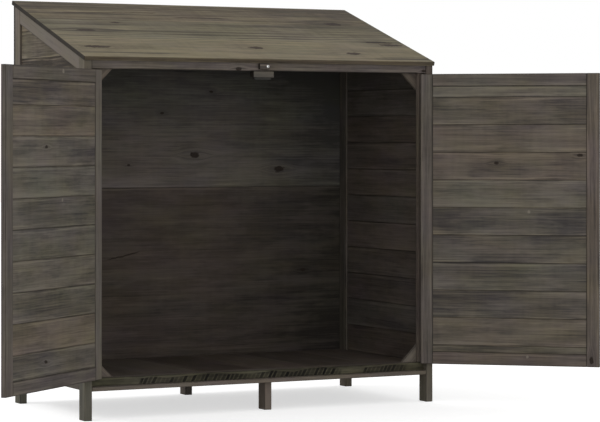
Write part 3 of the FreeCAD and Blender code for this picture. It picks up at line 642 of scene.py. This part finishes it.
# %% Marks
BACK, RAIL = 0.019, -0.480  # where the faces of the back and of the top rail stand
MARKS = {
    "roof_board_1": [
        ("long knot", (-0.4425, -0.4002, 0.9492), 0.0135),
        ("knot", (0.0236, -0.3831, 0.9547), 0.014),
        ("knot", (0.2951, -0.4232, 0.9419), 0.0135),
        ("long knot", (0.46, -0.3325, 0.9708), 0.0115)],
    "roof_board_2": [
        ("long knot", (-0.4075, -0.2456, 0.9984), 0.01),
        ("knot", (-0.2897, -0.1646, 1.0242), 0.0085),
        ("long knot", (0.4312, -0.3108, 0.9777), 0.015)],
    "roof_board_3": [
        ("knot", (0.3857, -0.1291, 1.0355), 0.017),
        ("crack", (-0.447, -0.0802, 1.0511), 0.006, (-0.1121, -0.0553, 1.059)),
        ("crack", (-0.0987, -0.0994, 1.0449), 0.007, (0.08, -0.0993, 1.045))],
    "back_panel_upper": [
        ("knot", (0.026, BACK, 0.6675), 0.01),
        ("knot", (0.2892, BACK, 0.6268), 0.01),
        ("knot", (-0.1744, BACK, 0.6404), 0.0035),
        ("knot", (-0.0734, BACK, 0.7848), 0.004),
        ("knot", (0.0785, BACK, 0.8455), 0.0035)],
    "back_panel_lower": [
        ("crack", (-0.2489, BACK, 0.3766), 0.003, (-0.1293, BACK, 0.4016)),
        ("knot", (0.3677, BACK, 0.3366), 0.005)],
    "right_door_slats": [
        ("knot", (0.6209, -0.6253, 0.6479), 0.0045),
        ("pale", (0.6877, -0.6833, 0.5175), 0.005),
        ("knot", (0.791, -0.7731, 0.6697), 0.005)],
    "left_door_slats": [
        ("pale", (-0.6209, -0.6207, 0.5627), 0.005),
        ("knot", (-0.6826, -0.6725, 0.6927), 0.0045),
        ("knot", (-0.6845, -0.6741, 0.1729), 0.005)],
    "left_door_top_rail": [("pale", (-0.6185, -0.6213, 0.8786), 0.006)],
    "right_door_bottom_rail": [("pale", (0.6835, -0.6824, 0.1296), 0.005)],
    "front_top_rail": [
        ("knot", (-0.076, RAIL, 0.8948), 0.0055),
        ("knot", (0.4802, RAIL, 0.8966), 0.004)],
}
print("marked boards:", len(MARKS))

# %% [markdown]
# ## Whole boards out of triangles
#
# A solid arrives as flat triangles, and one node can hold a whole stack of slats. A bevel needs
# whole faces, and each slat needs its own grain, so the triangles are sorted into separate solids
# and then melted into whole faces.

# %% Boards out of triangles
def closed_lumps(node):
    """The separate solids of a node. Its faces come solid by solid, and a solid is complete
    when each of its edges has met its partner, so solids that only touch stay apart."""
    mesh = NODES[node].data
    lumps, faces, waiting = [], [], set()
    for polygon in mesh.polygons:
        corners = [tuple(round(c, 6) for c in mesh.vertices[i].co) for i in polygon.vertices]
        faces.append(corners)
        for a, b in zip(corners, corners[1:] + corners[:1]):
            if (b, a) in waiting:
                waiting.remove((b, a))
            else:
                waiting.add((a, b))
        if not waiting:
            lumps.append(faces)
            faces = []
    return lumps


def lump_mesh(faces):
    """One solid as a mesh of whole flat faces."""
    bm = bmesh.new()
    verts = {}
    for corners in faces:
        for corner in corners:
            if corner not in verts:
                verts[corner] = bm.verts.new(corner)
        if len(set(corners)) == len(corners):
            bm.faces.new([verts[corner] for corner in corners])
    bm.normal_update()
    bmesh.ops.dissolve_limit(bm, angle_limit=math.radians(1), verts=bm.verts, edges=bm.edges)
    return bm


def join_lumps(lumps):
    whole = bmesh.new()
    for bm in lumps:
        lump = bpy.data.meshes.new("lump")
        bm.to_mesh(lump)
        bm.free()
        whole.from_mesh(lump)
        bpy.data.meshes.remove(lump)
    return whole


print("slats in the left door:", len(closed_lumps("left_door_slats")))

# %% [markdown]
# ## Each board's own directions
#
# The grain runs along a board's longest edge, and its widest face gives the thickness. This could
# be typed in board by board, but the doors stand at an angle and the roof slopes, so it is
# measured from the mesh. The marks are then turned into places on their board.

# %% Directions and marks
def board_axes(bm):
    """Grain, width and thickness directions of one board, and its middle and half sizes."""
    longest = max(bm.edges, key=lambda edge: edge.calc_length())
    grain = (longest.verts[0].co - longest.verts[1].co).normalized()
    grain *= 1 if max(grain, key=abs) > 0 else -1
    side_faces = [face for face in bm.faces if abs(face.normal.dot(grain)) < 0.1]
    thick = max(side_faces, key=lambda face: face.calc_area()).normal.copy()
    thick *= 1 if max(thick, key=abs) > 0 else -1
    axes = Matrix((grain, thick.cross(grain), thick))
    places = [axes @ vert.co for vert in bm.verts]
    low = Vector(min(p[i] for p in places) for i in range(3))
    high = Vector(max(p[i] for p in places) for i in range(3))
    return axes, (low + high) / 2, (high - low) / 2


def outside(spot, board):
    """How far a place lies outside a board."""
    axes, middle, half = board
    return sum(max(0.0, abs(c) - h) for c, h in zip(axes @ spot - middle, half))


def place_marks(node, boards):
    """Turn a node's marks into board coordinates, each on the board that it lies on."""
    placed = []
    for kind, spot, radius, *rest in MARKS.get(node, ()):
        number = min(range(len(boards)), key=lambda index: outside(Vector(spot), boards[index]))
        axes, middle, _ = boards[number]
        along, across, _ = axes @ Vector(spot) - middle
        extra = ()
        if kind == "crack":
            far_along, far_across, _ = axes @ Vector(rest[0]) - middle
            if far_along < along:
                along, across, far_along, far_across = far_along, far_across, along, across
            extra = (far_along, (far_across - across) / (far_along - along))
        placed.append((kind, number, along, across, radius) + extra)
    return placed


print("marks to place:", sum(len(marks) for marks in MARKS.values()))

# %% [markdown]
# ## Eased edges
#
# A sawn board never has a knife edge: a plane or sandpaper has eased it. A bevel in the material
# would not change the outline, so the edges are cut in the mesh, finer on the thin slats. A board
# that fades is also cut where the fade starts and ends, because values live on the mesh's points.

# %% Edges, cuts and stored numbers
EASED_EDGE, SLAT_EDGE = 0.0009, 0.0003
BOARD_CORNER = 30  # degrees between two faces whose edge is eased


def ease_edges(bm, width, corner):
    """Bevel every edge where two faces meet at more than the given angle."""
    sharp = [edge for edge in bm.edges
             if len(edge.link_faces) == 2 and edge.calc_face_angle() > math.radians(corner)]
    bmesh.ops.bevel(bm, geom=sharp, offset=width, segments=2, profile=0.5, affect="EDGES",
                    clamp_overlap=True)


def cut_for_fades(bm, node):
    for _, axis, start, _, end, _ in FADES.get(node, ()):
        direction = Vector([float(i == axis) for i in range(3)])
        for place in (start, end):
            bmesh.ops.bisect_plane(bm, geom=bm.verts[:] + bm.edges[:] + bm.faces[:],
                                   plane_co=direction * place, plane_no=direction)


def store_numbers(bm, node, board_of, values):
    """Write a board's coordinates and numbers on its points, where the materials read them."""
    axes, middle, half = board_of
    heart = axes.transposed() @ middle
    facing = Vector(ONE_SIDE[node][0]) if node in ONE_SIDE else None
    board = bm.verts.layers.float_vector.new("board")
    half_size = bm.verts.layers.float_vector.new("half_size")
    stored = {name: bm.verts.layers.float.new(name) for name in values}
    for vert in bm.verts:
        vert[board] = axes @ vert.co - middle
        vert[half_size] = half
        for name, value in values.items():
            vert[stored[name]] = value
        shown = facing is None or (vert.co - heart).dot(facing) > 0
        for name, axis, start, start_value, end, end_value in FADES.get(node, ()) if shown else ():
            way = min(1.0, max(0.0, (vert.co[axis] - start) / (end - start)))
            vert[stored[name]] += start_value + way * (end_value - start_value)


print("edges eased by", EASED_EDGE * 1000, "mm, on slats by", SLAT_EDGE * 1000, "mm")

# %% [markdown]
# ## Dressed boards take their places
#
# Each dressed board rides on the same body as the plain solid, so a door and all its slats still
# swing as one. Its draws start from the board's own name, so they come out the same every time.

# %% Board maker
MATERIALS = {}
TONE_SPREAD = 0.7


def stain_for(kind, node, marks):
    """The material of one kind of timber; a node with marks has its own."""
    name = f"{node} {kind}" if marks else kind
    name = name.replace("_", " ")
    if name not in MATERIALS:
        MATERIALS[name] = timber_material(name, marks, **STAINS[kind])
    return MATERIALS[name]


def new_object(name, data):
    thing = bpy.data.objects.new(name, data)
    bpy.context.scene.collection.objects.link(thing)
    return thing


def take_place(node, bm, ending):
    """Turn finished mesh data into the piece that takes one solid's place on the same body."""
    mesh = bpy.data.meshes.new(f"{node}_{ending}")
    bm.to_mesh(mesh)
    bm.free()
    piece = new_object(mesh.name, mesh)
    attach(piece, BODY_OF[node])
    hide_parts(node)
    return piece


def make_boards(node):
    """The dressed boards that stand in for one CAD node."""
    width = SLAT_EDGE if "slats" in node else EASED_EDGE
    draw = random.Random(zlib.crc32(node.encode()))
    lumps, boards = [], []
    for number, faces in enumerate(closed_lumps(node)):
        lumps.append(lump_mesh(faces))
        boards.append(board_axes(lumps[-1]))
        ease_edges(lumps[-1], width, BOARD_CORNER)
        cut_for_fades(lumps[-1], node)
        values = {"seed": draw.random(), "tone": draw.uniform(-TONE_SPREAD, TONE_SPREAD),
                  "tint": draw.uniform(-1, 1), "damp": 0.0, "number": number}
        for name, table in (("tone", TONES), ("tint", TINTS)):
            if node in table:
                values[name] = table[node][number]
        store_numbers(lumps[-1], node, boards[-1], values)
    mesh = take_place(node, join_lumps(lumps), "timber").data
    marks = place_marks(node, boards)
    kind = "outer_walls" if node.endswith("side_slats") else SLOT_OF[node]
    if node not in ONE_SIDE:
        mesh.materials.append(stain_for(kind, node, marks))
        return
    facing, other_kind = ONE_SIDE[node]
    mesh.materials.append(stain_for(kind, node, ()))
    mesh.materials.append(stain_for(other_kind, node, marks))
    for polygon in mesh.polygons:
        polygon.material_index = int(polygon.normal.dot(Vector(facing)) > 0.5)


timber_nodes = [node for node in sorted(NODES) if SLOT_OF[node] in STAINS]
for node in timber_nodes:
    make_boards(node)
print("boards dressed:", len(timber_nodes), "with", len(MATERIALS), "materials")

# %% [markdown]
# ## Metal and plastic
#
# The hinges are galvanised sheet, grey with a faint mottle and fine rolling lines, the screws are
# brighter zinc, and the washer is black plastic. One flat grey would look like paint, so one noise
# makes the mottle and drives colour, gloss and relief together.

# %% Hardware materials
MOTTLE_SCALE, LINE_SCALE = (300.0, 300.0, 300.0), (2600.0, 2600.0, 120.0)  # features per metre
DULL, FLAKE_EDGE, FLAKE_SHARE = 0.62, (0.64, 0.38), 0.6
GLOSS_SPREAD, LINE_SHARE, METAL_BUMP = 0.16, 0.4, 0.3


def hardware_material(name, colour, metallic, roughness, relief_depth):
    material, graph, shader = new_material(name)
    where = graph.add("ShaderNodeTexCoord").outputs["Object"]
    mottle = graph.noise(graph.scaled(where, MOTTLE_SCALE))
    lines = graph.noise(graph.scaled(where, LINE_SCALE), 2.0)
    dull = [c * DULL for c in colour]
    flakes = graph.times(graph.band(mottle, *FLAKE_EDGE), FLAKE_SHARE)
    graph.fill(shader, Base_Color=graph.mix(flakes, colour, dull), Metallic=metallic,
               Roughness=graph.line(mottle, GLOSS_SPREAD, roughness))
    height = graph.plus(mottle, graph.times(lines, LINE_SHARE))
    add_relief(graph, shader, height, METAL_BUMP, relief_depth)
    return material


HARDWARE = {
    "hinge_steel": hardware_material("galvanised steel", (0.42, 0.42, 0.41), 1.0, 0.36, 0.0002),
    "screw_steel": hardware_material("bright zinc", (0.72, 0.72, 0.70), 1.0, 0.2, 0.0001),
    "washer_plastic": hardware_material("black plastic", (0.03, 0.03, 0.03), 0.0, 0.45, 0.0001),
}
print("hardware materials:", ", ".join(HARDWARE))

# %% [markdown]
# ## Pressed metal
#
# Pressed hinge leaves, pins and the washer have a burr-free rim of a fifth of a millimetre. It is
# cut like the boards' eased edges. More faces could round the knuckles, but smooth shading does
# the same for nothing.

# %% Leaves, pins and washer
RIM, METAL_CORNER, SMOOTH_BELOW = 0.0002, 40, 35  # metres, degrees, degrees


def finish_metal(node, bm, ending):
    """Put a metal piece in place, smooth but for its crisp edges, in its slot's metal."""
    mesh = take_place(node, bm, ending).data
    mesh.shade_smooth()
    mesh.set_sharp_from_angle(angle=math.radians(SMOOTH_BELOW))
    mesh.materials.append(HARDWARE[SLOT_OF[node]])


screw_nodes = [node for node in sorted(NODES) if node.endswith(("screw", "screws"))]
pressed_nodes = [node for node in sorted(NODES)
                 if SLOT_OF[node] in HARDWARE and node not in screw_nodes]
for node in pressed_nodes:
    lumps = [lump_mesh(faces) for faces in closed_lumps(node)]
    for bm in lumps:
        ease_edges(bm, RIM, METAL_CORNER)
    finish_metal(node, join_lumps(lumps), "metal")
print("eased metal:", len(pressed_nodes), "solids")

# %% [markdown]
# ## Screws with a cross recess
#
# A screw is turned and then stamped: a domed head with a cross pressed into it, and a thread
# below. A boolean cut would leave a rough mesh, so it is built from rings of sixteen points, which
# can follow a circle and a cross alike. Place, direction and sizes are read from the plain screw
# that it stands in for.

# %% Rings and plain sizes
POINTS = 16
NEARLY = 0.9  # the share from which a point counts as on the head's rim, or as at the tip


def circle_ring(radius):
    turns = [step * 2 * math.pi / POINTS for step in range(POINTS)]
    return [(radius * math.cos(turn), radius * math.sin(turn)) for turn in turns]


def cross_ring(reach, half_width):
    """Sixteen points round a plus sign, in the order of their angle."""
    points = []
    for cos, sin in ((1, 0), (0, 1), (-1, 0), (0, -1)):
        for x, y in ((reach, 0), (reach, half_width), (half_width, half_width), (half_width, reach)):
            points.append((x * cos - y * sin, x * sin + y * cos))
    return points


def plain_screw_sizes(faces):
    """Top of the head, the way it looks, head radius and height, shank radius and whole length."""
    bm = lump_mesh(faces)
    top = max(bm.faces, key=lambda face: face.calc_area())
    middle, facing = top.calc_center_bounds(), top.normal.copy()
    depths = [-(vert.co - middle).dot(facing) for vert in bm.verts]
    radii = [((vert.co - middle) + depth * facing).length for vert, depth in zip(bm.verts, depths)]
    head, length = max(radii), max(depths)
    height = max(depth for depth, radius in zip(depths, radii) if radius > head * NEARLY)
    shank = max(radius for depth, radius in zip(depths, radii) if depth > length * NEARLY)
    bm.free()
    return middle, facing, head, height, shank, length


sizes = plain_screw_sizes(closed_lumps("turn_button_screw")[0])[2:]
print("head radius and height, shank radius and length in mm:", [round(1000 * s, 2) for s in sizes])

# %% [markdown]
# ## Turning the screws
#
# Each ring has a depth below the top of the head, and neighbouring rings are joined by a belt of
# faces. A true helix would need far more points, and on so fine a thread nobody can tell, so the
# thread is a row of rings. Each screw stopped at its own angle when it was driven in.

# %% Screw maker
THREAD_PITCH = 0.0012
THREAD_ROOT = 0.8  # share of the shank's radius
RECESS_FLOOR = (0.17, 0.06, 0.55)  # the cross's reach, half width and depth in head radii
RECESS_TOP = (0.52, 0.13)
RECESS_TIP = 0.6  # depth in head radii
RECESS_RIM = 0.06  # depth in head heights
DOME = ((0.70, 0.10), (0.90, 0.38), (1.0, 0.8), (0.97, 1.0))  # head radii, head heights


def screw_rings(head, height, shank, length):
    """Rings and their depths, from the floor of the recess to the end of the thread."""
    reach, half_width, depth = RECESS_FLOOR
    rings = [(cross_ring(head * reach, head * half_width), head * depth)]
    reach, half_width = RECESS_TOP
    rings.append((cross_ring(head * reach, head * half_width), height * RECESS_RIM))
    rings += [(circle_ring(head * out), height * down) for out, down in DOME]
    rings.append((circle_ring(shank * THREAD_ROOT), height))
    for turn in range(int((length - height - 2 * shank) / THREAD_PITCH)):
        depth = height + (turn + 0.5) * THREAD_PITCH
        rings.append((circle_ring(shank), depth))
        rings.append((circle_ring(shank * THREAD_ROOT), depth + THREAD_PITCH * 0.5))
    return rings


def cross_head_screw(faces, turned_by):
    middle, facing, head, height, shank, length = plain_screw_sizes(faces)
    bm = bmesh.new()
    turned = facing.to_track_quat("Z", "Y").to_matrix() @ Matrix.Rotation(turned_by, 3, "Z")
    levels = [[bm.verts.new(middle + turned @ Vector((x, y, -depth))) for x, y in ring]
              for ring, depth in screw_rings(head, height, shank, length)]
    ends = [bm.verts.new(middle - facing * head * RECESS_TIP), bm.verts.new(middle - facing * length)]
    for upper, lower in zip(levels, levels[1:]):
        for i in range(POINTS):
            bm.faces.new((upper[i - 1], lower[i - 1], lower[i], upper[i]))
    for i in range(POINTS):
        bm.faces.new((ends[0], levels[0][i - 1], levels[0][i]))
        bm.faces.new((ends[1], levels[-1][i], levels[-1][i - 1]))
    return bm


screws = 0
for node in screw_nodes:
    draw = random.Random(zlib.crc32(node.encode()))
    lumps = [cross_head_screw(faces, draw.uniform(0, math.pi)) for faces in closed_lumps(node)]
    screws += len(lumps)
    finish_metal(node, join_lumps(lumps), "turned")
print("screws with a cross recess:", screws)

# %% [markdown]
# ## Floor
#
# The cabinet stands on a plain pale studio floor that keeps its shadow. A stronger lamp would turn
# the floor white too, but it would bleach the wood. So the floor glows a little, and only for the
# camera, which the Light Path node can tell.

# %% Floor
WHITE = (1, 1, 1)
FLOOR_SIZE, FLOOR_GREY, FLOOR_GLOW = 40.0, 0.65, 0.6
corner = FLOOR_SIZE / 2
floor_mesh = bpy.data.meshes.new("studio_floor")
floor_mesh.from_pydata([(-corner, -corner, 0), (corner, -corner, 0), (corner, corner, 0),
                        (-corner, corner, 0)], [], [(0, 1, 2, 3)])
floor = new_object("studio_floor", floor_mesh)
paint, graph, shader = new_material("white floor paint")
rays = graph.add("ShaderNodeLightPath").outputs
graph.fill(shader, Base_Color=[FLOOR_GREY] * 3, Roughness=0.9, Specular_IOR_Level=0.1,
           Emission_Color=WHITE, Emission_Strength=graph.times(rays["Is Camera Ray"], FLOOR_GLOW))
floor_mesh.materials.append(paint)
print("floor:", FLOOR_SIZE, "m square")

# %% [markdown]
# ## Light
#
# The world gives even light from all round, so a colour shows about as it is written, and metal
# mirrors it as pure white. Lamps alone would leave the shadows too dark. One lamp high behind
# the left side brightens the roof and the left wall, and one in front opens up the inside.

# %% Light
WORLD_LEVEL = 0.85
MIDDLE = Vector((0.0, -0.25, 0.55))
world = bpy.data.worlds.new("studio")
bpy.context.scene.world = world
world.use_nodes = True
graph = Graph(world.node_tree)
sky = graph.tree.nodes["Background"]
rays = graph.add("ShaderNodeLightPath").outputs
mirrored = graph.math("MAXIMUM", rays["Is Glossy Ray"], rays["Is Transmission Ray"])
seen = graph.math("MAXIMUM", rays["Is Camera Ray"], mirrored)
graph.fill(sky, Color=WHITE, Strength=graph.line(seen, 1.0 - WORLD_LEVEL, WORLD_LEVEL))


def lamp(name, place, size, power):
    """A square soft lamp aimed at the cabinet's middle."""
    data = bpy.data.lights.new(name, "AREA")
    data.shape = "SQUARE"
    data.size = size
    data.energy = power
    thing = new_object(name, data)
    thing.location = place
    thing.rotation_euler = (MIDDLE - Vector(place)).to_track_quat("-Z", "Y").to_euler()


lamp("high left lamp", place=(-3.4, 1.2, 3.4), size=2.0, power=55)
lamp("front lamp", place=(-0.8, -6.2, 0.9), size=2.4, power=75)
print("lamps:", len(bpy.data.lights), "and a world at", WORLD_LEVEL)

# %% [markdown]
# ## Camera
#
# The camera stands level, well back and to the left, with a long lens. A tilted camera would make
# the posts lean, so the lens is shifted instead.

# %% Camera
FRAME_WIDTH = 600
FOCAL_PIXELS = 2440.34
SENSOR = 36.0  # millimetres
TURN = 27.7175  # degrees to the right of straight ahead
camera_data = bpy.data.cameras.new("camera")
camera_data.sensor_width = SENSOR
camera_data.lens = FOCAL_PIXELS / FRAME_WIDTH * SENSOR
camera_data.shift_x = -0.05
camera_data.shift_y = -0.1184
camera_data.clip_end = 200
camera = new_object("camera", camera_data)
camera.location = (-2.8206, -6.2159, 0.7097)
camera.rotation_euler = (math.radians(90), 0, math.radians(-TURN))
bpy.context.scene.camera = camera
bpy.context.scene.view_settings.view_transform = "Standard"
print("lens:", round(camera_data.lens, 1), "mm")
